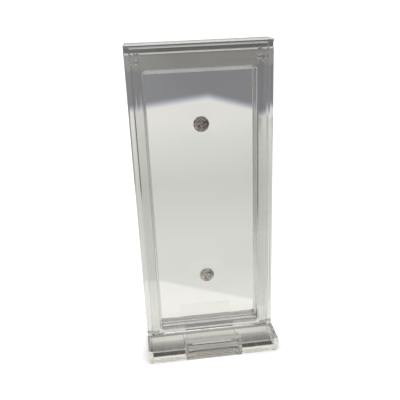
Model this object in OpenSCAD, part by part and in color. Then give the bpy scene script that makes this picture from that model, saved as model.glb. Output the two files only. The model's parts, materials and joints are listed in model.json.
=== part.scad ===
// Gemstone display box: two clear window frames with stretched films that hold round stones
// between them. The rear shell stands in a foot and the front cover swings down on two pins.
// Origin: middle of the footprint, on the table. +X right, +Y to the back, +Z up.

/* [Case] */
// Width of the case
case_w = 46; // [42:0.5:60]
// Height of the case above the table
case_h = 106.7; // [95:0.1:140]
// Thickness of the shell's side walls
side_wall = 1.5; // [1.2:0.1:2]
// Thickness of the shell's top wall
top_wall = 1.1; // [1:0.1:2.5]
// Radius of the case's top corners
corner_r = 0.8; // [0.4:0.1:1]
// Bevel of the shell's outer front edges
rim_bevel = 0.5; // [0.2:0.1:0.5]
// Thickness of the front cover
cover_t = 3.7; // [3.6:0.1:6]
// Thickness of the rear frame
shell_t = 3.6; // [3.2:0.1:6]

/* [Window] */
// Width of the window
window_w = 35.4; // [28:0.2:36]
// Height of the window's lower edge above the table
window_low = 6.9; // [6.7:0.05:9]
// Height of frame above the window, up to the cover's finger step
window_head = 6.05; // [5.2:0.05:8]
// Corner radius of the window
window_r = 1; // [0.6:0.1:3]
// Width of the bevel round the window's outer edge
window_bevel = 0.3; // [0.2:0.1:0.8]
// Draft of the window's wall, from its bevel to the ring
window_draft = 0.25; // [0.1:0.05:0.4]
// Bevel of the cover's front edges
edge_bevel = 0.4; // [0.3:0.05:0.6]
// Depth of the finger step along the top, below the front face
step_depth = 1.2; // [0.6:0.1:1.8]
// Height of the finger step
step_h = 1.35; // [1:0.05:2.5]
// Bevel along the cover's top edge, at the back of the finger step
crest_bevel = 0.2; // [0.1:0.05:0.3]

/* [Films] */
// Width of the film rings
ring_w = 0.6; // [0.5:0.1:1]
// Thickness of the film rings
ring_t = 1.7; // [1.2:0.1:2]
// How far a ring stands into the window past the frame
ring_lip = 0.15; // [0.1:0.05:0.4]
// Thickness of a film
film_t = 0.15; // [0.1:0.01:0.25]
// Radius round a stone where the front film lifts off its plane
front_drape_r = 7; // [5:0.5:12]
// Radius round a stone where the rear film lifts off its plane
rear_drape_r = 9; // [6:0.5:13]
// Radius to which the rear film hugs a stone's point
hug_r = 1; // [0.8:0.1:1.4]

/* [Stones] */
// Girdle diameter of a stone
stone_d = 5.15; // [4:0.05:6]
// Height of the upper stone
upper_z = 80.7; // [70:0.1:86]
// Height of the lower stone
lower_z = 25.6; // [22:0.1:40]
// Width of the table facet, as a part of the girdle
table_part = 0.57; // [0.5:0.01:0.65]
// Slope of the crown's main facets
crown_angle = 34.5; // [30:0.5:38]
// Slope of the pavilion's main facets
pavilion_angle = 40.75; // [38:0.25:43]
// Thickness of the girdle
girdle_t = 0.16; // [0.08:0.01:0.3]
// Width of the culet
culet_w = 0.3; // [0.15:0.05:0.5]

/* [Foot] */
// How far the foot reaches in front of the cover
foot_reach = 9.7; // [8.5:0.1:14]
// Thickness of the base plate
base_t = 1.7; // [1.4:0.1:2.5]
// Height of the deck's upper face
deck_z = 3.9; // [3.7:0.1:5]
// Thickness of the deck
deck_t = 0.7; // [0.5:0.1:1]
// How far the deck's front edge stands back from the base plate's
deck_setback = 1.4; // [0.6:0.1:2]
// Height of the end cheeks
cheek_h = 4.9; // [4.4:0.1:5.5]
// Radius of the base plate's lower end corners
base_r = 1; // [0.4:0.1:1.3]
// Thickness of the webs beside the clip
web_t = 1; // [0.8:0.1:1.5]
// Width of a tenon under the shell
tenon_w = 6; // [4:0.5:8]
// Depth of a tenon, front to back
tenon_d = 2; // [1.4:0.1:2.6]
// Length of a tenon
tenon_h = 1; // [0.6:0.1:1.2]
// Radius of the ejector marks under the foot
mark_r = 1.8; // [1:0.1:2.5]
// Depth of the ejector marks
mark_depth = 0.15; // [0.1:0.05:0.3]
// Distance of the ejector marks from the middle
mark_x = 14; // [12.5:0.5:17]

/* [Clip] */
// Width of the clip's head
head_w = 19.8; // [19.2:0.1:26]
// Height of the clip's head
head_h = 6.4; // [5.4:0.1:7]
// Thickness of the clip's head
head_t = 2.8; // [2.4:0.1:3.4]
// How far the head stands out in front of the foot
head_proud = 0.3; // [0.1:0.05:0.6]
// Radius of the head's upper front edge
head_r = 1.5; // [0.6:0.1:2]
// Width of the clip's arm
arm_w = 17.8; // [14:0.1:18.8]
// Thickness of the clip's arm
arm_t = 1.4; // [1:0.1:1.8]
// How far the arm goes into the shell
arm_grip = 2.2; // [1.5:0.1:2.4]
// Width of the grip panel in the head
grip_w = 15.4; // [10:0.2:16]
// Height of the grip panel
grip_h = 3.4; // [2.4:0.1:3.8]
// Height of the grip panel's lower edge
grip_low = 1; // [0.6:0.1:1.4]
// Corner radius of the grip panel
grip_r = 1; // [0.6:0.1:1.2]
// Depth of the grip panel
grip_depth = 0.4; // [0.2:0.05:0.6]
// Number of ribs in the grip panel
rib_count = 3; // [2:1:4]
// Radius of a rib
rib_r = 0.28; // [0.2:0.02:0.3]

/* [Hinge and snaps] */
// Distance of the hinge axis behind the cover's front
hinge_inset = 1.2; // [1.1:0.05:1.25]
// Height of the hinge axis above the cover's lower edge
hinge_rise = 1.6; // [1.5:0.1:2]
// Radius of a hinge pin
pin_r = 0.4; // [0.3:0.05:0.45]
// How far a pin is pressed into the cover
pin_grip = 2.6; // [2:0.1:2.8]
// How far a pin's end lies below the shell's side
pin_sink = 0.15; // [0:0.05:0.4]
// Radius of a snap stud
stud_r = 0.9; // [0.7:0.05:1]
// How far a stud is pressed into the cover
stud_grip = 2.4; // [1.5:0.1:3]
// How far a stud reaches into the shell
stud_reach = 1.4; // [1:0.1:1.6]
// Distance from the cover's side to a stud
stud_inset = 1.9; // [1.7:0.1:2.4]
// Height of the finger step's edge above a stud
stud_drop = 2.8; // [2:0.1:3]
// Radius of the two lobes of the pocket about a stud
lobe_r = 1.25; // [1.1:0.05:1.4]
// Distance of the outer lobe from the stud
lobe_step = 1.7; // [1.2:0.1:2.2]
// How far the outer lobe lies below the stud
lobe_drop = 0.9; // [0.4:0.1:1.2]
// Depth of the pocket
pocket_depth = 0.8; // [0.3:0.1:1.2]

/* [Clearances] */
// Gap between the cover and the shell's side walls
side_gap = 0.25; // [0.15:0.05:0.5]
// Gap between the cover and the shell's top wall
top_gap = 0.25; // [0.2:0.05:0.8]
// Gap between the cover's back and the shell's frame
parting_gap = 0.3; // [0.2:0.05:0.5]
// Gap between the deck and the cover's lower edge
hinge_gap = 0.3; // [0.3:0.05:0.6]
// Running clearance of a hinge pin
pin_clear = 0.05; // [0.02:0.01:0.1]
// Clearance round a snap stud in the shell
stud_clear = 0.12; // [0.1:0.01:0.2]
// Clearance round a ring in its rebate
ring_clear = 0.05; // [0.02:0.01:0.1]
// Clearance round the clip
clip_clear = 0.15; // [0.05:0.05:0.25]
// Clearance between a film and a stone
film_clear = 0.12; // [0.08:0.01:0.2]
// Clearance round a tenon
tenon_clear = 0.05; // [0.02:0.01:0.1]

/* [Hidden] */
$fn = 48;
// Cuts run past the faces that they open by this much
past = 1;

// Planes from front to back
depth = foot_reach + head_proud + cover_t + parting_gap + shell_t;
head_y = -depth / 2;
foot_y = head_y + head_proud;
cover_y = foot_y + foot_reach;
cover_back = cover_y + cover_t;
shell_y = cover_back + parting_gap;
shell_back = shell_y + shell_t;
stone_y = (cover_back + shell_y) / 2;

// Cover and window
cover_w = case_w - 2 * (side_wall + side_gap);
cover_top = case_h - top_wall - top_gap;
step_z = cover_top - step_h;
window_top = step_z - window_head;
axis_y = cover_y + hinge_inset;
cover_low = deck_z + hinge_gap;
axis_z = cover_low + hinge_rise;
rebate_depth = ring_t + film_t;
ring_open = -window_draft - ring_lip;
stud_x = cover_w / 2 - stud_inset;
stud_z = step_z - stud_drop;

// Proportions of a stone: the pavilion's breaks run this part of the way from girdle to culet
break_part = 0.77;
crown_h = stone_d / 2 * (1 - table_part) * tan(crown_angle);
pavilion_h = (stone_d - culet_w) / 2 * tan(pavilion_angle);
table_y = stone_y - girdle_t / 2 - crown_h;
culet_y = stone_y + girdle_t / 2 + pavilion_h;

// A block from one corner to the other
module block(low, high) {
    translate(low) cube(high - low);
}

// A cylinder along X, between two places
module rod_x(x0, x1, y, z, r) {
    translate([x0, y, z]) rotate([0, 90, 0]) cylinder(r = r, h = x1 - x0);
}

// A cylinder along Y, between two places
module rod_y(x, y0, y1, z, r) {
    translate([x, y0, z]) rotate([-90, 0, 0]) cylinder(r = r, h = y1 - y0);
}

// A round-cornered upright panel: half width w, from z0 to z1, between y0 and y1
module panel(w, z0, z1, y0, y1, r) {
    block([-w + r, y0, z0], [w - r, y1, z1]);
    block([-w, y0, z0 + r], [w, y1, z1 - r]);
    for (x = [-w + r, w - r], z = [z0 + r, z1 - r]) rod_y(x, y0, y1, z, r);
}

// The window's outline between y0 and y1, wider than the opening by grow0 there and grow1 here
module window(grow0, grow1, y0, y1) {
    half = window_w / 2;
    inner = half - window_r;
    low = window_low + window_r;
    high = window_top - window_r;
    translate([0, 0, low]) linear_extrude(high - low)
        polygon([[-half - grow0, y0], [half + grow0, y0], [half + grow1, y1], [-half - grow1, y1]]);
    translate([-inner, 0, 0]) rotate([90, 0, 90]) linear_extrude(2 * inner)
        polygon([[y0, window_low - grow0], [y0, window_top + grow0],
                 [y1, window_top + grow1], [y1, window_low - grow1]]);
    for (x = [-inner, inner], z = [low, high]) translate([x, y0, z]) rotate([-90, 0, 0])
        cylinder(r1 = window_r + grow0, r2 = window_r + grow1, h = y1 - y0);
}

// Opening through a frame of depth deep: bevel at the outer face y = 0, then a drafted wall
module window_cut(deep) {
    window(window_bevel + past, 0, -past, window_bevel);
    window(0, -window_draft, 0, deep);
}

// A frame's ring rebate between two planes
module rebate(y0, y1) {
    window(ring_w + ring_clear, ring_w + ring_clear, y0, y1);
}

// Ring that carries a film, with its window a little smaller than the frame's
module film_ring(y0) {
    difference() {
        window(ring_w, ring_w, y0, y0 + ring_t);
        window(ring_open, ring_open, y0 - past, y0 + ring_t + past);
    }
}

// Height of a stretched film over the pole that lifts it, falling with the logarithm of the radius
function drape(r, pole_r, rim_r, lift) = lift * ln(rim_r / r) / ln(rim_r / pole_r);

// Solid under a draped film: the end of the pole, as a profile, and the falling slope round it
module drape_solid(end, pole_r, rim_r, lift, sunk) {
    steps = 14;
    slope = [for (i = [0:steps]) let (r = pole_r * pow(rim_r / pole_r, i / steps))
             [r, drape(r, pole_r, rim_r, lift)]];
    rotate_extrude() polygon(concat([[0, -sunk]], end, slope, [[rim_r, -sunk]]));
}

// Film between y0 and y0 + film_t that bulges the way of dir round each stone
module film(y0, dir, end, pole_r, rim_r, lift) {
    inner_face = dir < 0 ? y0 + film_t : y0;
    module drapes(raise, sunk) {
        raised_end = [for (p = end) [p[0], p[1] + raise]];
        for (z = [upper_z, lower_z]) translate([0, inner_face, z]) rotate([-90 * dir, 0, 0])
            drape_solid(raised_end, pole_r + raise, rim_r + raise, lift + raise, sunk);
    }
    difference() {
        union() {
            window(ring_w - film_t, ring_w - film_t, y0, y0 + film_t);
            drapes(film_t, 0);
        }
        drapes(0, past);
    }
}

// Half space outside one facet, whose plane passes at radius r and height z with this slope
module facet(turn, slope, r, z) {
    rotate([0, 0, turn]) translate([r, 0, z]) rotate([0, slope, 0])
        translate([-stone_d, -stone_d, 0]) cube([2 * stone_d, 2 * stone_d, stone_d]);
}

// Facets of one side of a brilliant: eight mains, sixteen breaks at the girdle that meet at apex_r
module side_facets(angle, apex_r) {
    r = stone_d / 2;
    apex_h = (r - apex_r * cos(22.5)) * tan(angle);
    break_slope = atan(apex_h / ((r - apex_r) * cos(11.25)));
    for (k = [0:7]) facet(k * 45, angle, r, girdle_t / 2);
    for (k = [0:15]) facet(k * 22.5 + 11.25, break_slope, r * cos(11.25), girdle_t / 2);
}

// Round brilliant with its table facing the front
module brilliant(z) {
    r = stone_d / 2;
    table_edge = r * table_part * cos(22.5);
    star_r = (table_edge + r) / 2;
    star_drop = crown_h - (r - star_r * cos(22.5)) * tan(crown_angle);
    star_slope = atan(star_drop / (star_r - table_edge));
    pavilion_apex_r = r * (1 - break_part);
    translate([0, stone_y, z]) rotate([90, 0, 0]) difference() {
        translate([0, 0, -pavilion_h - girdle_t / 2]) cylinder(r = r, h = pavilion_h + girdle_t + crown_h);
        side_facets(crown_angle, star_r);
        for (k = [0:7]) facet(k * 45 + 22.5, star_slope, table_edge, girdle_t / 2 + crown_h);
        mirror([0, 0, 1]) side_facets(pavilion_angle, pavilion_apex_r);
    }
}

module foot() {
    color([0.86, 0.88, 0.87, 0.4]) difference() {
        union() {
            base_plate();
            for (side = [-1, 1]) {
                cheek(side);
                deck(side);
            }
        }
        // Notch that the clip's head fills
        block([-head_w / 2 - clip_clear, foot_y - past, -past],
              [head_w / 2 + clip_clear, head_y + head_t + clip_clear, cheek_h + past]);
        for (side = [-1, 1]) {
            mortise(side);
            for (y = [foot_y + 2 * mark_r, shell_back - 2 * mark_r])
                translate([side * mark_x, y, -past]) cylinder(r = mark_r, h = past + mark_depth);
        }
    }
}

// Base plate with rounded lower ends
module base_plate() {
    block([-case_w / 2 + base_r, foot_y, 0], [case_w / 2 - base_r, shell_back, base_t]);
    block([-case_w / 2, foot_y, base_r], [case_w / 2, shell_back, base_t]);
    for (side = [-1, 1]) intersection() {
        rod_y(side * (case_w / 2 - base_r), foot_y, shell_back, base_r, base_r);
        block([-case_w, foot_y, 0], [case_w, shell_back, base_r]);
    }
}

// End cheek, in line with the shell's side wall
module cheek(side) {
    inner = case_w / 2 - side_wall;
    translate([side < 0 ? -case_w / 2 : inner, 0, 0]) block([0, foot_y, base_r], [side_wall, cover_y, cheek_h]);
}

// One half of the deck, with the web beside the clip's arm
module deck(side) {
    inner = arm_w / 2 + clip_clear;
    outer = case_w / 2 - side_wall;
    front = foot_y + deck_setback;
    mirror([side < 0 ? 1 : 0, 0, 0]) {
        block([inner, front, deck_z - deck_t], [outer, shell_y, deck_z]);
        block([inner, front, 0], [inner + web_t, shell_y, deck_z]);
    }
}

// Pocket in the base plate for one of the shell's tenons
module mortise(side) {
    translate([side * tenon_x(), tenon_y(), base_t - tenon_h - tenon_clear])
        linear_extrude(tenon_h + past)
            square([tenon_w + 2 * tenon_clear, tenon_d + 2 * tenon_clear], center = true);
}

function tenon_x() = (arm_w / 2 + case_w / 2) / 2;
function tenon_y() = (shell_y + shell_back) / 2;

module lock_clip() {
    color([0.82, 0.84, 0.83, 0.45]) {
        block([-arm_w / 2, head_y + head_t, deck_z - arm_t], [arm_w / 2, shell_y + arm_grip, deck_z]);
        difference() {
            clip_head();
            grip_panel();
        }
        for (k = [1:rib_count]) grip_rib(grip_low + grip_h * k / (rib_count + 1));
    }
}

// Upright head with a rounded upper front edge
module clip_head() {
    translate([-head_w / 2, 0, 0]) rotate([90, 0, 90]) linear_extrude(head_w) difference() {
        translate([head_y, 0]) square([head_t, head_h]);
        difference() {
            translate([head_y - past, head_h - head_r]) square([head_r + past, head_r + past]);
            translate([head_y + head_r, head_h - head_r]) circle(head_r);
        }
    }
}

// Shallow panel in the head's front
module grip_panel() {
    panel(grip_w / 2, grip_low, grip_low + grip_h, head_y - past, head_y + grip_depth, grip_r);
}

// One rib along the grip panel
module grip_rib(z) {
    rod_x(-grip_w / 2 + grip_r, grip_w / 2 - grip_r, head_y + grip_depth, z, rib_r);
}

module rear_shell() {
    color([0.85, 0.87, 0.86, 0.4]) difference() {
        union() {
            difference() {
                shell_outline(cover_y, shell_back);
                cover_space();
            }
            for (side = [-1, 1]) tenon(side);
        }
        finger_step(case_h - top_wall);
        upright_bevels(rim_bevel, case_w / 2);
        level_bevel(rim_bevel, cover_y, case_h);
        translate([0, shell_back, 0]) mirror([0, 1, 0]) window_cut(shell_t);
        rebate(shell_y - past, shell_y + rebate_depth);
        for (side = [-1, 1]) {
            rod_x(side * case_w / 2 - case_w / 4, side * case_w / 2 + case_w / 4, axis_y, axis_z,
                  pin_r + pin_clear);
            rod_y(side * stud_x, shell_y - past, shell_y + stud_reach + stud_clear, stud_z,
                  stud_r + stud_clear);
        }
        // Slot that the clip's arm locks into
        block([-arm_w / 2 - clip_clear, shell_y - past, deck_z - arm_t - clip_clear],
              [arm_w / 2 + clip_clear, shell_y + arm_grip + clip_clear, deck_z + clip_clear]);
    }
}

// Outline of the case with round upper corners, standing on the base plate
module shell_outline(y0, y1) {
    block([-case_w / 2, y0, base_t], [case_w / 2, y1, case_h - corner_r]);
    block([-case_w / 2 + corner_r, y0, base_t], [case_w / 2 - corner_r, y1, case_h]);
    for (side = [-1, 1]) rod_y(side * (case_w / 2 - corner_r), y0, y1, case_h - corner_r, corner_r);
}

// Space between the side walls for the cover and the deck
module cover_space() {
    inner = case_w / 2 - side_wall;
    block([-inner, cover_y - past, base_t - past], [inner, shell_y, case_h - top_wall]);
}

// Tenon under the shell that stands in the base plate
module tenon(side) {
    translate([side * tenon_x(), tenon_y(), base_t - tenon_h]) linear_extrude(tenon_h + past)
        square([tenon_w, tenon_d], center = true);
}

// Square rod turned by half a right angle, which takes a bevel off an edge along Z
module edge_cut(bevel, length) {
    rotate([0, 0, 45]) linear_extrude(length) square(bevel * sqrt(2), center = true);
}

// Bevels along both upright front edges, at half width w
module upright_bevels(bevel, w) {
    for (side = [-1, 1]) translate([side * w, cover_y, 0]) edge_cut(bevel, case_h + past);
}

// Bevel along a level edge at this place
module level_bevel(bevel, y, z) {
    translate([case_w, y, z]) rotate([0, -90, 0]) edge_cut(bevel, 2 * case_w);
}

// Finger step right across the front, up to this height, with its bevelled edge
module finger_step(top) {
    block([-case_w, cover_y - past, step_z], [case_w, cover_y + step_depth, top]);
    level_bevel(edge_bevel, cover_y, step_z);
}

module front_cover() {
    color([0.87, 0.89, 0.88, 0.4]) difference() {
        union() {
            block([-cover_w / 2, cover_y, axis_z], [cover_w / 2, cover_back, cover_top]);
            hinge_edge();
        }
        finger_step(cover_top + past);
        level_bevel(crest_bevel, cover_y + step_depth, cover_top);
        translate([0, cover_y, 0]) window_cut(cover_t);
        rebate(cover_back - rebate_depth, cover_back + past);
        upright_bevels(edge_bevel, cover_w / 2);
        level_bevel(edge_bevel, cover_y, cover_low);
        for (side = [-1, 1]) {
            rod_x(side * cover_w / 2 - pin_grip, side * cover_w / 2 + pin_grip, axis_y, axis_z, pin_r);
            rod_y(side * stud_x, cover_back - stud_grip, cover_back + past, stud_z, stud_r);
            stud_pocket(side);
        }
    }
}

// Lower edge of the cover, round about the axis behind it so that it turns clear of the shell
module hinge_edge() {
    block([-cover_w / 2, cover_y, cover_low], [cover_w / 2, axis_y, axis_z]);
    intersection() {
        block([-cover_w / 2, axis_y, cover_low], [cover_w / 2, cover_back, axis_z]);
        rod_x(-cover_w / 2, cover_w / 2, axis_y, axis_z, cover_back - axis_y);
    }
}

// Pocket in the cover's back at a top corner, with a lobe about the stud and a lower one at the side
module stud_pocket(side) {
    y0 = cover_back - pocket_depth;
    mirror([side < 0 ? 1 : 0, 0, 0]) {
        rod_y(stud_x, y0, cover_back + past, stud_z, lobe_r);
        rod_y(stud_x + lobe_step, y0, cover_back + past, stud_z - lobe_drop, lobe_r);
        block([stud_x - lobe_r, y0, stud_z], [cover_w / 2 + past, cover_back + past, step_z]);
    }
}

// Hinge pin from the cover into the side wall
module hinge_pin(side) {
    start = cover_w / 2 - pin_grip;
    reach = case_w / 2 - pin_sink - start;
    mirror([side < 0 ? 1 : 0, 0, 0]) color([0.8, 0.82, 0.82]) rod_x(start, start + reach, axis_y, axis_z, pin_r);
}

// Snap stud with a rounded tip
module snap_stud(side) {
    tip = stud_r / 2;
    length = stud_grip + parting_gap + stud_reach;
    color([0.86, 0.88, 0.88, 0.5]) translate([side * stud_x, cover_back - stud_grip, stud_z]) rotate([-90, 0, 0])
        rotate_extrude() difference() {
            square([stud_r, length]);
            translate([stud_r - tip, length - tip]) difference() {
                square(tip + past);
                circle(tip);
            }
        }
}

module front_film_ring() {
    color([0.8, 0.83, 0.82, 0.45]) film_ring(cover_back - rebate_depth);
}

module rear_film_ring() {
    color([0.8, 0.83, 0.82, 0.45]) film_ring(shell_y + film_t);
}

// The front film lies flat on a stone's table
module front_film() {
    lift = cover_back - table_y + film_clear;
    color([0.93, 0.95, 0.95, 0.25])
        film(cover_back - film_t, -1, [[0, lift]], stone_d * table_part / 2, front_drape_r, lift);
}

// The rear film follows a stone's point before it falls away
module rear_film() {
    top = culet_y - shell_y + film_clear;
    lift = top - (hug_r - culet_w / 2) * tan(pavilion_angle);
    color([0.93, 0.95, 0.95, 0.25])
        film(shell_y, 1, [[0, top], [culet_w / 2, top]], hug_r, rear_drape_r, lift);
}

module upper_stone() {
    color([0.75, 0.76, 0.78]) brilliant(upper_z);
}

module lower_stone() {
    color([0.75, 0.76, 0.78]) brilliant(lower_z);
}

foot();
lock_clip();
rear_shell();
rear_film_ring();
rear_film();
upper_stone();
lower_stone();
front_cover();
front_film_ring();
front_film();
hinge_pin(-1);  // hinge_pin_left
hinge_pin(1);  // hinge_pin_right
snap_stud(-1);  // snap_stud_left
snap_stud(1);  // snap_stud_right
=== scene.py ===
# Clear upright display box: two cut stones float between stretched films in a window frame.
import json
import math

import bmesh
import bpy
from mathutils import Matrix, Vector


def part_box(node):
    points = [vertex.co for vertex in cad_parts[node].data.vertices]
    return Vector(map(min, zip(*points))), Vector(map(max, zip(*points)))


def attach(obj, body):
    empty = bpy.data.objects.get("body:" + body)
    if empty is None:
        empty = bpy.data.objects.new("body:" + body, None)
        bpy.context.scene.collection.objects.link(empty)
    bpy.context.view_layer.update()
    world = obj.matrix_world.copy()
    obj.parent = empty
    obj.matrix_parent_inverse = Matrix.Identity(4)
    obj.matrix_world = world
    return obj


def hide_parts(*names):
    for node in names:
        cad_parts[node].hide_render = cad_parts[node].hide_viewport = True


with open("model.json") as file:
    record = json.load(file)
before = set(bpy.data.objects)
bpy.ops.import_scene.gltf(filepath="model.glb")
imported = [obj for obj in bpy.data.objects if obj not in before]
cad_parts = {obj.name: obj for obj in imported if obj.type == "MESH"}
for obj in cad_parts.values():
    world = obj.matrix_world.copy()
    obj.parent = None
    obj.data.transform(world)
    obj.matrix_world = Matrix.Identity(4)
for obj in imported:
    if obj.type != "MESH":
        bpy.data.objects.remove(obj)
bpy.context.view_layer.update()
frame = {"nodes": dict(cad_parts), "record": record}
scene = bpy.context.scene
mm = 0.001
bodyOf = {node: body for body, nodes in frame["record"]["behaviour"]["bodies"].items() for node in nodes}


class Wire:
    # a socket in a node tree; sums and products of wires add Math nodes

    def __init__(self, tree, socket=None):
        self.tree = tree
        self.socket = socket

    def node(self, kind, settings=None, sockets=None, out=0):
        made = self.tree.nodes.new(kind)
        for name, value in (settings or {}).items():
            if name == "stops":
                self.setStops(made.color_ramp, value)
            else:
                setattr(made, name, value)
        for name, value in (sockets or {}).items():
            self.feed(made.inputs[name], value)
        return Wire(self.tree, made.outputs[out])

    def setStops(self, ramp, stops):
        while len(ramp.elements) < len(stops):
            ramp.elements.new(1.0)
        for element, (position, colour) in zip(ramp.elements, stops):
            element.position = position
            element.color = colour

    def feed(self, target, value):
        if isinstance(value, Wire):
            self.tree.links.new(value.socket, target)
        else:
            target.default_value = value

    def maths(self, operation, first, second):
        return self.node("ShaderNodeMath", {"operation": operation}, {0: first, 1: second})

    def share(self, value, start, full):
        # nought at the start, one where it counts fully
        return self.node("ShaderNodeMapRange", {"clamp": True}, {0: value, 1: start, 2: full})

    def mix(self, share, first, second, blend="MIX"):
        return self.node("ShaderNodeMix", {"data_type": "RGBA", "blend_type": blend},
                         {"Factor": share, "A": first, "B": second}, "Result")

    def ramp(self, value, low, high, stops):
        # colours along a length, each stop at its place between low and high
        placed = [((at - low) / (high - low), colour) for at, colour in stops]
        return self.node("ShaderNodeValToRGB", {"stops": placed}, {"Fac": self.share(value, low, high)}, "Color")

    def __add__(self, other):
        return self.maths("ADD", self, other)

    def __sub__(self, other):
        return self.maths("SUBTRACT", self, other)

    def __mul__(self, other):
        return self.maths("MULTIPLY", self, other)


def grey(level):
    return (level, level, level, 1.0)


def newMaterial(name):
    material = bpy.data.materials.new(name)
    material.use_nodes = True
    tree = material.node_tree
    wire = Wire(tree)
    place = wire.node("ShaderNodeTexCoord", out="Object")
    return material, tree.nodes["Principled BSDF"].inputs, wire, place


def stretchedNoise(wire, place, turn, stretch, scale, low, high):
    # long thin streaks: noise drawn out along one direction, kept only above a threshold
    lines = wire.node("ShaderNodeMapping", None, {"Vector": place, "Rotation": turn, "Scale": stretch})
    noise = wire.node("ShaderNodeTexNoise", None, {"Vector": lines, "Scale": scale, "Detail": 2.0})
    return wire.share(noise, low, high)


def zoneMask(wire, place, limits):
    # one inside the zone: each limit names an axis, where the zone starts and where it counts fully
    mask = None
    for axis, start, full in limits:
        level = wire.node("ShaderNodeSeparateXYZ", None, {"Vector": place}, axis)
        share = wire.share(level, start, full)
        mask = share if mask is None else mask * share
    return mask


def addScuff(wire, place, scuff):
    # worn faces turn partly matt
    worn = zoneMask(wire, place, scuff["limits"]) * scuff["share"]
    clear = Wire(wire.tree, wire.tree.nodes["Principled BSDF"].outputs["BSDF"])
    matt = wire.node("ShaderNodeBsdfPrincipled", None, {"Base Color": scuff["tint"], "Roughness": scuff["rough"]})
    mixed = wire.node("ShaderNodeMixShader", None, {0: worn, 1: clear, 2: matt})
    wire.feed(wire.tree.nodes["Material Output"].inputs["Surface"], mixed)


plasticGrain = {
    "smudgeDetail": 5.0, "smudgeRough": 0.6, "smudgeLow": 0.5, "smudgeHigh": 0.75,
    "waveDetail": 1.0, "waveRough": 0.4,
    "scratches": (
        {"turn": (0.3, 0.9, 0.2), "stretch": (1.0, 0.02, 1.0), "scale": 2600.0, "low": 0.66, "high": 0.72},
        {"turn": (1.1, -0.4, 0.7), "stretch": (1.0, 1.0, 0.025), "scale": 2200.0, "low": 0.67, "high": 0.73},
    ),
}


def clearPlastic(name, look):
    # polystyrene moulding: slight tint, finger smudges, hairline scratches and a faint wave in its faces;
    # a look can add zones of another tint and roughness, and a scuffed zone
    material, shader, wire, place = newMaterial(name)
    blotches = wire.node("ShaderNodeTexNoise", None, {
        "Vector": place, "Scale": look["smudgeScale"],
        "Detail": plasticGrain["smudgeDetail"], "Roughness": plasticGrain["smudgeRough"]})
    smudge = wire.share(blotches, plasticGrain["smudgeLow"], plasticGrain["smudgeHigh"])
    fine, cross = (stretchedNoise(wire, place, **lines) for lines in plasticGrain["scratches"])
    scratch = fine + cross
    wave = wire.node("ShaderNodeTexNoise", None, {
        "Vector": place, "Scale": look["waveScale"],
        "Detail": plasticGrain["waveDetail"], "Roughness": plasticGrain["waveRough"]})
    tint = wire.mix(smudge, look["tint"], look["smudgeTint"])
    rough = smudge * look["smudge"] + scratch * look["scratch"] + look["rough"]
    for zone in look.get("zones", []):
        inside = zoneMask(wire, place, zone["limits"])
        tint = wire.mix(inside, tint, zone["tint"])
        rough = rough + inside * zone["rough"]
    if "scuff" in look:
        addScuff(wire, place, look["scuff"])
    wire.feed(shader["Base Color"], tint)
    wire.feed(shader["Roughness"], rough)
    height = wave * look["wave"] + scratch * look["scratchDepth"]
    wire.feed(shader["Normal"], wire.node("ShaderNodeBump", None,
                                          {"Strength": 1.0, "Distance": mm, "Height": height}))
    shader["Transmission Weight"].default_value = 1.0
    shader["IOR"].default_value = look["ior"]
    return material


meshCare = {"weld": 0.0005 * mm, "flatAngle": 0.2, "bevelSegments": 2, "bevelProfile": 0.5}


def cleanCopy(node):
    # the node's mesh welded at its seams, with its flat faces joined up
    mesh = bmesh.new()
    mesh.from_mesh(frame["nodes"][node].data)
    bmesh.ops.remove_doubles(mesh, verts=mesh.verts, dist=meshCare["weld"])
    flat = math.radians(meshCare["flatAngle"])
    bmesh.ops.dissolve_limit(mesh, angle_limit=flat, verts=mesh.verts, edges=mesh.edges)
    bmesh.ops.recalc_face_normals(mesh, faces=mesh.faces)
    return mesh


def roundEdges(mesh, radius, leastAngle):
    sharp = [edge for edge in mesh.edges
             if len(edge.link_faces) == 2 and edge.calc_face_angle(0.0) > math.radians(leastAngle)]
    bmesh.ops.bevel(mesh, geom=sharp, offset=radius, offset_type="OFFSET", segments=meshCare["bevelSegments"],
                    profile=meshCare["bevelProfile"], affect="EDGES", clamp_overlap=True)


def moulding(node, name, material, shape):
    # a clear moulding with the small edge radii that the mould leaves, drawn in by its air gap
    mesh = cleanCopy(node)
    roundEdges(mesh, shape["edgeRadius"], shape["leastAngle"])
    mesh.normal_update()
    for vert in mesh.verts:
        vert.co -= vert.normal * shape["airGap"]
    data = bpy.data.meshes.new(name)
    mesh.to_mesh(data)
    mesh.free()
    data.polygons.foreach_set("use_smooth", [True] * len(data.polygons))
    data.set_sharp_from_angle(angle=math.radians(shape["creaseAngle"]))
    data.materials.append(material)
    piece = bpy.data.objects.new(name, data)
    scene.collection.objects.link(piece)
    weighted = piece.modifiers.new("even faces", "WEIGHTED_NORMAL")
    weighted.keep_sharp = True
    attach(piece, bodyOf[node])
    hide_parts(node)
    return piece


def dress(node, material):
    data = frame["nodes"][node].data
    data.materials.clear()
    data.materials.append(material)


# Mouldings; light from matt faces passes most of them, so that they leave the floor pale
caseLook = {
    "tint": (0.896, 0.890, 0.888, 1.0), "smudgeTint": (0.871, 0.865, 0.863, 1.0), "ior": 1.57,
    "rough": 0.012, "smudge": 0.05, "scratch": 0.12, "smudgeScale": 55.0,
    "wave": 0.002, "waveScale": 160.0, "scratchDepth": 0.0004,
}
caseShape = {"edgeRadius": 0.13 * mm, "leastAngle": 28.0, "creaseAngle": 50.0, "airGap": 0.012 * mm}
casePlastic = clearPlastic("clearCase", caseLook)
moulding("rear_shell", "rearShell", casePlastic, caseShape).visible_diffuse = False

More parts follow.
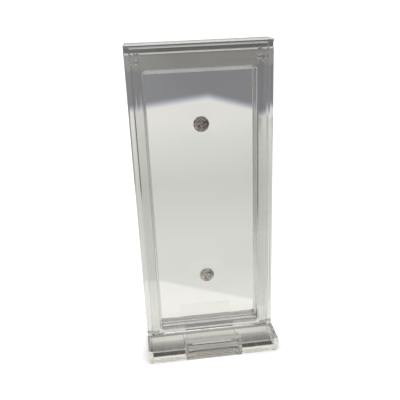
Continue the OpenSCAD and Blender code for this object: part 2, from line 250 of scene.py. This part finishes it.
# the cover's lower edge is darker: painted shade of the seam below it, with some dirt
coverEdgeShadeAndDirt = {"limits": [("Z", 4.6 * mm, 4.3 * mm)], "tint": (0.45, 0.44, 0.42, 1.0), "rough": 0.0}
coverPlastic = clearPlastic("clearCover", {**caseLook, "zones": [coverEdgeShadeAndDirt]})
moulding("front_cover", "frontCover", coverPlastic, caseShape).visible_diffuse = False

# painted shade of the seam, with some dust, darkens the deck and the clip's arm just before the cover
seamShadeAndDust = {
    "limits": [("Y", 1.0 * mm, 1.25 * mm), ("Y", 2.3 * mm, 2.1 * mm), ("Z", 3.2 * mm, 3.5 * mm)],
    "tint": (0.40, 0.39, 0.37, 1.0), "rough": 0.3,
}
frontScuff = {
    "limits": [("Y", -8.1 * mm, -8.4 * mm)], "share": 0.25, "tint": (0.74, 0.72, 0.64, 1.0), "rough": 0.6,
}
footLook = {
    **caseLook, "tint": (0.962, 0.95, 0.932, 1.0), "smudge": 0.08, "wave": 0.004,
    "zones": [seamShadeAndDust], "scuff": frontScuff,
}
moulding("foot", "standingFoot", clearPlastic("clearFoot", footLook), caseShape)

# the clip's head is cloudier than its arm
clipHead = {"limits": [("Y", -5.8 * mm, -6.2 * mm)], "tint": (0.55, 0.535, 0.51, 1.0), "rough": 0.0}
clipLook = {
    **caseLook, "tint": (0.915, 0.90, 0.88, 1.0), "smudge": 0.09, "wave": 0.004, "zones": [seamShadeAndDust, clipHead],
}
clipPlastic = clearPlastic("clearClip", clipLook)
moulding("lock_clip", "lockClip", clipPlastic, caseShape).visible_diffuse = False

ringLook = {**caseLook, "tint": (0.928, 0.927, 0.922, 1.0)}
ringPlastic = clearPlastic("clearRing", ringLook)
moulding("front_film_ring", "frontRing", ringPlastic, caseShape).visible_diffuse = False
moulding("rear_film_ring", "rearRing", ringPlastic, caseShape).visible_diffuse = False

pinLook = {**caseLook, "smudge": 0.03}
pinPlastic = clearPlastic("clearPin", pinLook)
for side in ("left", "right"):
    moulding("hinge_pin_" + side, "hingePin." + side, pinPlastic, caseShape)
    moulding("snap_stud_" + side, "snapStud." + side, pinPlastic, caseShape)
print("mouldings made")

# Films
filmLook = {
    **caseLook, "tint": (0.982, 0.978, 0.976, 1.0), "smudgeTint": (0.962, 0.958, 0.956, 1.0), "ior": 1.42,
    "rough": 0.002, "smudge": 0.008, "scratch": 0.02, "smudgeScale": 35.0, "wave": 0.0008, "scratchDepth": 0.0001,
}
filmShape = {
    "thickness": 0.05 * mm, "cornerRadius": 1.4 * mm, "cornerSteps": 8, "rings": 22, "segments": 64,
    "frontRim": 7.0 * mm, "rearRim": 9.0 * mm, "easedShare": 0.3, "easePower": 0.5,
    "tableShare": 0.57, "pavilionShare": 0.7, "hug": 1.0 * mm, "tip": 0.15 * mm,
}


def filmOutline(low, high, radius, steps):
    # rounded rectangle, counter-clockwise from its lower right corner
    points = []
    corners = [(high.x - radius, low.z + radius, -90), (high.x - radius, high.z - radius, 0),
               (low.x + radius, high.z - radius, 90), (low.x + radius, low.z + radius, 180)]
    for x, z, start in corners:
        for step in range(steps + 1):
            turn = math.radians(start + 90 * step / steps)
            points.append((x + radius * math.cos(turn), z + radius * math.sin(turn)))
    return points


def drapeProfile(poleRadius, rimRadius, height, rings):
    # radius and height of a stretched film, which falls with the logarithm of the radius and eases out at its rim
    profile = []
    for ring in range(rings + 1):
        share = ring / rings
        radius = rimRadius * (poleRadius / rimRadius) ** share
        ease = min(1.0, share / filmShape["easedShare"]) ** filmShape["easePower"]
        profile.append((radius, height * share * ease))
    return profile


def stretchedFilm(node, name, side, profile):
    # flat sheet with a smooth drape over each stone; side is -1 where it bulges to the front
    low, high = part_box(node)
    plane = high.y if side < 0 else low.y
    plane += side * filmShape["thickness"]
    mesh = bmesh.new()
    outline = [mesh.verts.new((x, plane, z)) for x, z in
               filmOutline(low, high, filmShape["cornerRadius"], filmShape["cornerSteps"])]
    loops = [outline]
    count = filmShape["segments"]
    turns = [2 * math.pi * k / count for k in range(count)]
    for stone in ("upper_stone", "lower_stone"):
        stoneLow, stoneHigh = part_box(stone)
        middle = (stoneLow + stoneHigh) / 2
        before = None
        for radius, height in profile:
            ring = [mesh.verts.new((middle.x + radius * math.cos(turn), plane + side * height,
                                    middle.z + radius * math.sin(turn))) for turn in turns]
            if before:
                for k in range(count):
                    mesh.faces.new((before[k - 1], before[k], ring[k], ring[k - 1]))
            else:
                loops.append(ring)
            before = ring
        mesh.faces.new(before)
    rims = [mesh.edges.get((loop[k - 1], loop[k])) or mesh.edges.new((loop[k - 1], loop[k]))
            for loop in loops for k in range(len(loop))]
    for face in mesh.faces:
        face.smooth = True
    bmesh.ops.triangle_fill(mesh, edges=rims, use_beauty=True)
    bmesh.ops.recalc_face_normals(mesh, faces=mesh.faces)
    data = bpy.data.meshes.new(name)
    mesh.to_mesh(data)
    mesh.free()
    data.materials.append(filmPlastic)
    piece = bpy.data.objects.new(name, data)
    scene.collection.objects.link(piece)
    shell = piece.modifiers.new("thickness", "SOLIDIFY")
    shell.thickness = filmShape["thickness"]
    shell.offset = 0.0
    piece.visible_diffuse = False
    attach(piece, bodyOf[node])
    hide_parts(node)


def makeFilms():
    # the front film lies on each stone's table; the rear one hugs the cone of its pavilion down to the tip
    rings = filmShape["rings"]
    low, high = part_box("upper_stone")
    stoneRadius = (high.x - low.x) / 2
    frontLow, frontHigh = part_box("front_film")
    rearLow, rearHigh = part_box("rear_film")
    frontLift = frontHigh.y - frontLow.y - 2 * filmShape["thickness"]
    rearLift = rearHigh.y - rearLow.y - 2 * filmShape["thickness"]
    tableRadius = stoneRadius * filmShape["tableShare"]
    stretchedFilm("front_film", "frontFilm", -1,
                  drapeProfile(tableRadius, filmShape["frontRim"], frontLift, rings))
    hug = filmShape["hug"]
    pavilion = (high.y - low.y) * filmShape["pavilionShare"] / stoneRadius
    profile = drapeProfile(hug, filmShape["rearRim"], rearLift - pavilion * hug, rings)
    profile.append((filmShape["tip"], rearLift))
    stretchedFilm("rear_film", "rearFilm", 1, profile)


filmPlastic = clearPlastic("stretchedFilm", filmLook)
makeFilms()
print("films stretched")

# Stones
stoneLook = {
    "bright": (0.34, 0.29, 0.235, 1.0), "warm": (0.26, 0.13, 0.085, 1.0), "dark": (0.012, 0.010, 0.008, 1.0),
    "speckScale": 2700.0, "speckShare": 0.75, "cloudScale": 700.0, "cloudDetail": 3.0, "cloudShare": 0.35,
    "low": 0.36, "high": 0.66, "warmLow": 0.72, "warmHigh": 0.90, "warmShare": 0.6,
    "spark": 0.25 * mm, "ior": 2.4, "rough": 0.3, "clear": 0.3,
}


def cutStone(name, look):
    # cloudy stone: dark and bright specks in its body, some of them brown, and a fine uneven polish
    material, shader, wire, place = newMaterial(name)
    specks = wire.node("ShaderNodeTexVoronoi", None, {"Vector": place, "Scale": look["speckScale"]}, "Color")
    part = wire.node("ShaderNodeSeparateColor", None, {"Color": specks}, "Red")
    other = wire.node("ShaderNodeSeparateColor", None, {"Color": specks}, "Green")
    cloud = wire.node("ShaderNodeTexNoise", None,
                      {"Vector": place, "Scale": look["cloudScale"], "Detail": look["cloudDetail"]})
    mask = wire.share(part * look["speckShare"] + cloud * look["cloudShare"], look["low"], look["high"])
    tint = wire.mix(mask, look["bright"], look["dark"])
    warm = wire.share(other, look["warmLow"], look["warmHigh"])
    wire.feed(shader["Base Color"], wire.mix(warm * look["warmShare"], tint, look["warm"]))
    wire.feed(shader["Normal"], wire.node("ShaderNodeBump", None,
                                          {"Strength": 1.0, "Distance": look["spark"], "Height": part}))
    shader["Roughness"].default_value = look["rough"]
    shader["Transmission Weight"].default_value = look["clear"]
    shader["IOR"].default_value = look["ior"]
    return material


lowerLook = {**stoneLook, "bright": (0.55, 0.535, 0.425, 1.0), "warm": (0.38, 0.24, 0.18, 1.0),
             "dark": (0.07, 0.066, 0.052, 1.0)}
dress("upper_stone", cutStone("upperCutStone", stoneLook))
dress("lower_stone", cutStone("lowerCutStone", lowerLook))
for stone in ("upper_stone", "lower_stone"):
    frame["nodes"][stone].visible_diffuse = False
print("stones dressed")


# Stage: a white floor and dome for the eye; a glowing sheet painted with the table's light and shadow, a grey card
# and a bright strip behind the box and a low bright card close to its foot show only through the plastic or in its
# gloss
def stageObject(name, mesh, material):
    data = bpy.data.meshes.new(name)
    mesh.to_mesh(data)
    mesh.free()
    data.materials.append(material)
    made = bpy.data.objects.new(name, data)
    scene.collection.objects.link(made)
    return made


def glow(name, strength):
    material = bpy.data.materials.new(name)
    material.use_nodes = True
    tree = material.node_tree
    tree.nodes.clear()
    wire = Wire(tree)
    light = wire.node("ShaderNodeEmission", None, {"Strength": strength})
    end = tree.nodes.new("ShaderNodeOutputMaterial")
    wire.feed(end.inputs["Surface"], light)
    return material, wire, light.socket.node.inputs["Color"]


def axisOf(wire, axis):
    place = wire.node("ShaderNodeTexCoord", out="Object")
    return wire.node("ShaderNodeSeparateXYZ", None, {"Vector": place}, axis)


def disc(radius):
    mesh = bmesh.new()
    bmesh.ops.create_circle(mesh, cap_ends=True, segments=64, radius=radius)
    return mesh


def uprightCard(name, panel, material):
    mesh = bmesh.new()
    half, low, high = panel["width"] / 2, panel["low"], panel["high"]
    corners = ((-half, low), (half, low), (half, high), (-half, high))
    mesh.faces.new([mesh.verts.new((x, panel["place"], z)) for x, z in corners])
    card = stageObject(name, mesh, material)
    card.visible_camera = False
    card.visible_diffuse = False
    card.visible_shadow = False
    return card


floorSet = {
    "radius": 4.0, "tint": (0.90, 0.90, 0.895, 1.0), "grainTint": grey(0.92), "grainScale": 240.0,
    "grainDetail": 6.0, "rough": 0.7, "gloss": 0.1,
}


def makeFloor():
    material, shader, wire, place = newMaterial("paleFloor")
    grain = wire.node("ShaderNodeTexNoise", None,
                      {"Vector": place, "Scale": floorSet["grainScale"], "Detail": floorSet["grainDetail"]})
    wire.feed(shader["Base Color"], wire.mix(grain, floorSet["tint"], floorSet["grainTint"]))
    shader["Roughness"].default_value = floorSet["rough"]
    shader["Specular IOR Level"].default_value = floorSet["gloss"]
    floor = stageObject("floor", disc(floorSet["radius"]), material)
    floor.visible_glossy = False
    floor.visible_transmission = False


domeSet = {"radius": 4.3, "around": 48, "upward": 24, "light": 1.32, "tint": grey(1.0)}


def makeDome():
    material, wire, colour = glow("domeLight", domeSet["light"])
    colour.default_value = domeSet["tint"]
    mesh = bmesh.new()
    bmesh.ops.create_uvsphere(mesh, u_segments=domeSet["around"], v_segments=domeSet["upward"],
                              radius=domeSet["radius"])
    dome = stageObject("dome", mesh, material)
    dome.visible_glossy = False
    dome.visible_transmission = False
    dome.visible_shadow = False


cardSet = {
    "place": 0.40, "width": 2.4, "low": 0.0, "high": 0.5, "peak": 0.055, "rise": 0.10, "fall": 0.30,
    "stops": [(0.0175, (0.82, 0.815, 0.78, 1.0)), (0.0200, (0.63, 0.64, 0.69, 1.0)),
              (0.0228, (0.40, 0.41, 0.45, 1.0)), (0.0262, (0.236, 0.240, 0.254, 1.0))],
    "bands": [(0.057, 0.060, (0.315, 0.315, 0.30, 1.0)), (0.073, 0.077, grey(0.14)), (0.10, 0.12, grey(0.50))],
}


def makeCard():
    # bright at its foot, with a peaked edge, then grey, and in level bands above what shows in the window
    material, wire, colour = glow("backCardLight", 1.0)
    level = axisOf(wire, "Z")
    side = axisOf(wire, "X")
    rise = wire.maths("MINIMUM", side, cardSet["peak"]) * cardSet["rise"]
    fall = wire.maths("MAXIMUM", side - cardSet["peak"], 0.0) * cardSet["fall"]
    lit = wire.ramp(level - rise + fall, cardSet["low"], cardSet["high"], cardSet["stops"])
    for start, full, tone in cardSet["bands"]:
        lit = wire.mix(wire.share(level, start, full), lit, tone)
    wire.feed(colour, lit)
    uprightCard("backCard", cardSet, material).visible_glossy = False


stripSet = {
    "place": 0.60, "width": 1.6, "low": 0.11, "high": 0.22, "light": 0.6, "tint": (1.0, 0.99, 0.96, 1.0),
}


def makeStrip():
    # shows only in the gloss
    material, wire, colour = glow("stripLight", stripSet["light"])
    colour.default_value = stripSet["tint"]
    uprightCard("glossStrip", stripSet, material).visible_transmission = False


kickSet = {
    "place": 0.0096, "width": 0.046, "low": 0.0001, "high": 0.0019, "light": 0.75, "tint": (1.0, 0.98, 0.87, 1.0),
}


def makeKicker():
    # low bright card close behind the foot, whose base plate guides its light to the front
    material, wire, colour = glow("kickLight", kickSet["light"])
    colour.default_value = kickSet["tint"]
    uprightCard("kickCard", kickSet, material).visible_glossy = False


sheetSet = {
    "radius": 2.2, "tint": (0.99, 1.0, 0.94, 1.0),
    "left": -0.06, "right": 0.0257, "flare": 0.258, "close": 0.07, "front": -0.02, "fade": 0.03, "rightFade": 0.0075,
    # the table off the sheet is painted darker towards the right: painted shade
    "tableLeft": 0.55, "tableRight": 0.18, "tableSpan": 0.08,
    # the next line paints light close behind the box, ending at a slanted painted shadow edge
    "shadowEdgeSlant": 0.616, "shadowEdge": 0.0385, "shadowEdgeFade": 2.5 * mm, "litTone": grey(0.91),
    "shadowReach": 0.6,
    # the next line: a painted shadow band on the table farther off, lighter again beyond
    "shadowBand": [(0.09, grey(0.75)), (0.15, grey(0.68)), (0.19, grey(0.665)), (0.27, grey(0.73)), (0.40, grey(0.82))],
    "shadeHalf": 17.0 * mm, "footHalf": 23.0 * mm, "footFade": 1.0 * mm,
    "shade": [(-6.6, 0.95), (-6.0, 0.05), (-3.8, 0.06), (-3.3, 0.17), (-1.0, 0.30), (1.0, 0.54), (2.2, 0.84),
              (4.8, 0.94), (6.2, 0.60), (7.2, 0.42), (10.0, 0.42), (13.0, 0.60), (15.5, 1.0)],
}


def shadedTone(wire, along, across):
    # painted light close behind the box up to a slanted painted shadow edge, a painted shadow band farther off, and
    # painted shade under the foot
    shadowBand = wire.ramp(along, 0.0, sheetSet["shadowReach"], sheetSet["shadowBand"])
    edge = sheetSet["shadowEdge"]
    litPatch = wire.share(along + across * sheetSet["shadowEdgeSlant"], edge + sheetSet["shadowEdgeFade"], edge)
    tone = wire.mix(litPatch, shadowBand, sheetSet["litTone"])
    half = sheetSet["shadeHalf"]
    shade = wire.ramp(along, -half, half, [(y * mm, grey(level)) for y, level in sheetSet["shade"]])
    rim = sheetSet["footHalf"]
    inside = wire.share(wire.maths("ABSOLUTE", across, 0.0), rim, rim - sheetSet["footFade"])
    return wire.mix(inside, tone, shade, "MULTIPLY")


def sheetMask(wire, along, across):
    # one on the sheet, nought on the bare table; the right edge flares out behind the box
    fade = sheetSet["fade"]
    fromLeft = wire.share(across, sheetSet["left"] - fade, sheetSet["left"])
    flared = across - along * sheetSet["flare"]
    fromRight = wire.share(flared, sheetSet["right"] + sheetSet["rightFade"], sheetSet["right"])
    close = wire.share(along, sheetSet["close"] + fade, sheetSet["close"])
    behind = wire.share(along, sheetSet["front"] - fade, sheetSet["front"])
    return fromLeft * wire.maths("MAXIMUM", fromRight, close) * behind


def makeSheet():
    # a glowing sheet: the table's tone as the plastic shows it, with painted light and shadow
    material, wire, colour = glow("sheetGlow", 1.0)
    along = axisOf(wire, "Y")
    across = axisOf(wire, "X")
    # painted shade: the table off the sheet darkens from left to right
    span = sheetSet["tableSpan"]
    tableShade = wire.node("ShaderNodeMapRange", {"clamp": True},
                      {0: across, 1: -span, 2: span, 3: sheetSet["tableLeft"], 4: sheetSet["tableRight"]})
    whole = wire.mix(sheetMask(wire, along, across), tableShade, shadedTone(wire, along, across))
    wire.feed(colour, wire.mix(1.0, whole, sheetSet["tint"], "MULTIPLY"))
    sheet = stageObject("sheetGlow", disc(sheetSet["radius"]), material)
    sheet.visible_camera = False
    sheet.visible_diffuse = False
    sheet.visible_shadow = False


worldStops = [(0.0, grey(0.06)), (0.15, grey(0.10)), (0.3, grey(0.45)), (0.5, grey(0.7)), (1.0, grey(0.8))]


def makeWorld():
    # darker towards the floor, for the gloss
    world = bpy.data.worlds.new("room")
    scene.world = world
    world.use_nodes = True
    tree = world.node_tree
    wire = Wire(tree)
    place = wire.node("ShaderNodeTexCoord", out="Generated")
    height = wire.node("ShaderNodeSeparateXYZ", None, {"Vector": place}, "Z")
    wire.feed(tree.nodes["Background"].inputs["Color"], wire.ramp(height, 0.0, 1.0, worldStops))


makeFloor()
makeDome()
makeCard()
makeStrip()
makeKicker()
makeSheet()
makeWorld()

lamps = [
    {"name": "keySoftbox", "place": (-0.35, -0.25, 0.55), "aim": (0.0, 0.0, 0.05), "size": 0.30, "power": 1.4},
    {"name": "fillSoftbox", "place": (0.45, -0.30, 0.35), "aim": (0.0, 0.0, 0.05), "size": 0.25, "power": 0.4},
    {"name": "topSoftbox", "place": (0.0, -0.05, 0.60), "aim": (0.0, 0.0, 0.05), "size": 0.5, "power": 1.4},
]


def aimAt(place, target):
    return (Vector(target) - Vector(place)).to_track_quat("-Z", "Y").to_matrix().to_4x4()


for lamp in lamps:
    light = bpy.data.lights.new(lamp["name"], "AREA")
    light.size = lamp["size"]
    light.energy = lamp["power"]
    made = bpy.data.objects.new(lamp["name"], light)
    scene.collection.objects.link(made)
    made.matrix_world = Matrix.Translation(lamp["place"]) @ aimAt(lamp["place"], lamp["aim"])
    made.visible_diffuse = False
    made.visible_transmission = False
print("stage lit")

# Camera, from a fit of the box's edges; angles in degrees, lens and sensor in millimetres
view = {
    "place": (-0.01893, -0.15752, 0.11513), "yaw": 6.15, "pitch": -20.33, "roll": -2.37,
    "lens": 45.9, "sensor": 36.0, "nearest": 0.01,
}


def makeCamera():
    yaw, pitch, roll = (math.radians(view[name]) for name in ("yaw", "pitch", "roll"))
    ahead = Vector((math.sin(yaw) * math.cos(pitch), math.cos(yaw) * math.cos(pitch), math.sin(pitch)))
    right = Vector((math.cos(yaw), -math.sin(yaw), 0.0))
    up = right.cross(ahead)
    across = math.cos(roll) * right + math.sin(roll) * up
    upward = math.cos(roll) * up - math.sin(roll) * right
    turn = Matrix((across, upward, -ahead)).transposed().to_4x4()
    lens = bpy.data.cameras.new("camera")
    lens.sensor_width = view["sensor"]
    lens.lens = view["lens"]
    lens.clip_start = view["nearest"]
    made = bpy.data.objects.new("camera", lens)
    scene.collection.objects.link(made)
    made.matrix_world = Matrix.Translation(view["place"]) @ turn
    scene.camera = made


makeCamera()
scene.view_settings.view_transform = "Standard"
scene.cycles.max_bounces = 32
scene.cycles.transmission_bounces = 32
scene.cycles.glossy_bounces = 16
print("camera placed")
